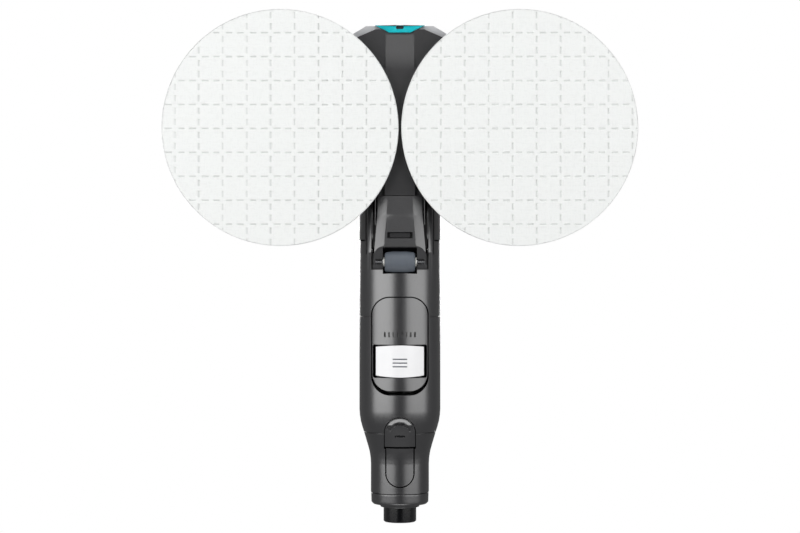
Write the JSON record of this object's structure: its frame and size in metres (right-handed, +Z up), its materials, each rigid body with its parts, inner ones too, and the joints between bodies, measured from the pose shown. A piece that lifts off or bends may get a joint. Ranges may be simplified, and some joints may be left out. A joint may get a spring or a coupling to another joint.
{
  "type": "twin disc floor burnisher head",
  "caption": "Cordless floor burnisher head with twin counter-rotating pads, a rolling and tilting neck, a floor roller and a round handle spigot.",
  "frame": {"origin": "centre of the footprint on the floor", "axes": "+Z up, pads on the floor, +Y towards the handle, -Y the spray nose, +X to the right seen from behind"},
  "size_m": [0.342, 0.372, 0.0672],
  "materials": {
    "shell_dark": "satin",
    "cover_silver": "satin",
    "teal_clear": "gloss",
    "black_plastic": "satin",
    "gloss_black": "gloss",
    "nylon": "matte",
    "steel": "brushed",
    "pad_white": "matte",
    "hook_black": "matte",
    "rubber_grey": "matte",
    "button_white": "satin",
    "board_green": "satin",
    "cell_blue": "satin",
    "brass": "satin",
    "tank_clear": "gloss"
  },
  "bodies": {
    "head": {"base_housing": "shell_dark", "top_cover": "cover_silver", "spray_window": "teal_clear", "spray_nozzle": "black_plastic", "gearbox_plate": "black_plastic", "idler_axle_left": "steel", "idler_axle_right": "steel", "spindle_bearing_left": "steel", "spindle_bearing_right": "steel", "drive_motor": "steel", "water_tank": "tank_clear", "spray_pump": "black_plastic", "spray_hose": "rubber_grey", "control_board": "board_green", "roll_bush": "nylon"},
    "disc_left": {"pad_left": "pad_white", "hook_disc_left": "hook_black", "drive_plate_left": "black_plastic", "spindle_left": "steel", "wheel_gear_left": "nylon"},
    "disc_right": {"pad_right": "pad_white", "hook_disc_right": "hook_black", "drive_plate_right": "black_plastic", "spindle_right": "steel", "wheel_gear_right": "nylon"},
    "idler_left": {"idler_gear_left": "nylon"},
    "idler_right": {"idler_gear_right": "nylon"},
    "pinion": {"motor_pinion": "brass"},
    "cap": {"tank_cap": "black_plastic"},
    "knuckle": {"swivel_bracket": "shell_dark", "bracket_cover": "shell_dark", "swivel_clip": "black_plastic", "roll_ring": "nylon", "tilt_pin": "steel", "roller_axle": "steel"},
    "floor_roller": {"roller": "rubber_grey", "roller_collar_left": "nylon", "roller_collar_right": "nylon"},
    "neck": {"neck_front": "shell_dark", "pivot_cover_left": "shell_dark", "pivot_cover_right": "shell_dark", "neck_body": "shell_dark", "neck_tail": "shell_dark", "neck_collar": "shell_dark", "handle_spigot": "gloss_black", "contact_pin": "brass", "battery_case": "black_plastic", "battery_cells": "cell_blue", "status_lights": "teal_clear", "release_guide": "shell_dark", "release_mark": "gloss_black", "release_spring": "steel", "power_spring": "steel"},
    "cover": {"battery_cover": "shell_dark", "latch_spring": "steel"},
    "latch": {"latch_button": "button_white", "button_bars": "rubber_grey"},
    "release": {"release_pad": "shell_dark"},
    "power": {"power_button": "gloss_black"}
  },
  "joints": [
    {"name": "left_disc_spin", "type": "hinge", "parent": "head", "child": "disc_left", "pos_m": [-0.086, -0.101, 0.02], "axis": [0, 0, 1], "continuous": true},
    {"name": "right_disc_spin", "type": "hinge", "parent": "head", "child": "disc_right", "pos_m": [0.086, -0.101, 0.02], "axis": [0, 0, 1], "continuous": true},
    {"name": "left_idler_spin", "type": "hinge", "parent": "head", "child": "idler_left", "pos_m": [-0.028, -0.101, 0.02], "axis": [0, 0, 1], "continuous": true},
    {"name": "right_idler_spin", "type": "hinge", "parent": "head", "child": "idler_right", "pos_m": [0.028, -0.101, 0.02], "axis": [0, 0, 1], "continuous": true},
    {"name": "pinion_spin", "type": "hinge", "parent": "head", "child": "pinion", "pos_m": [-0.028, -0.139, 0.02], "axis": [0, 0, 1], "continuous": true},
    {"name": "tank_cap_lift", "type": "slide", "parent": "head", "child": "cap", "axis": [0, 0, 1], "range_m": [0, 0.03]},
    {"name": "knuckle_roll", "type": "hinge", "parent": "head", "child": "knuckle", "pos_m": [0, -0.06, 0.036], "axis": [0, 1, 0], "range_deg": [-20, 20]},
    {"name": "neck_tilt", "type": "hinge", "parent": "knuckle", "child": "neck", "pos_m": [0, -0.035, 0.036], "axis": [1, 0, 0], "range_deg": [0, 90]},
    {"name": "roller_spin", "type": "hinge", "parent": "knuckle", "child": "floor_roller", "pos_m": [0, -0.0046, 0.0087], "axis": [1, 0, 0], "continuous": true},
    {"name": "battery_cover_lift", "type": "slide", "parent": "neck", "child": "cover", "axis": [0, 0, -1], "range_m": [0, 0.03]},
    {"name": "latch_button_press", "type": "slide", "parent": "cover", "child": "latch", "axis": [0, 0, 1], "range_m": [0, 0.0015], "stiffness_N_per_m": 800, "springref_m": -0.0006, "deforming": ["latch_spring"]},
    {"name": "release_press", "type": "slide", "parent": "neck", "child": "release", "axis": [0, 0, 1], "range_m": [0, 0.0025], "stiffness_N_per_m": 1000, "springref_m": -0.0006, "deforming": ["release_spring"]},
    {"name": "power_press", "type": "slide", "parent": "neck", "child": "power", "axis": [0, 0, -1], "range_m": [0, 0.0015], "stiffness_N_per_m": 800, "springref_m": -0.0005, "deforming": ["power_spring"]}
  ],
  "couplings": [
    {"joint": "right_disc_spin", "follows": "left_disc_spin", "ratio": -1},
    {"joint": "left_idler_spin", "follows": "left_disc_spin", "ratio": -1.0714},
    {"joint": "right_idler_spin", "follows": "left_disc_spin", "ratio": 1.0714},
    {"joint": "pinion_spin", "follows": "left_disc_spin", "ratio": 3}
  ]
}
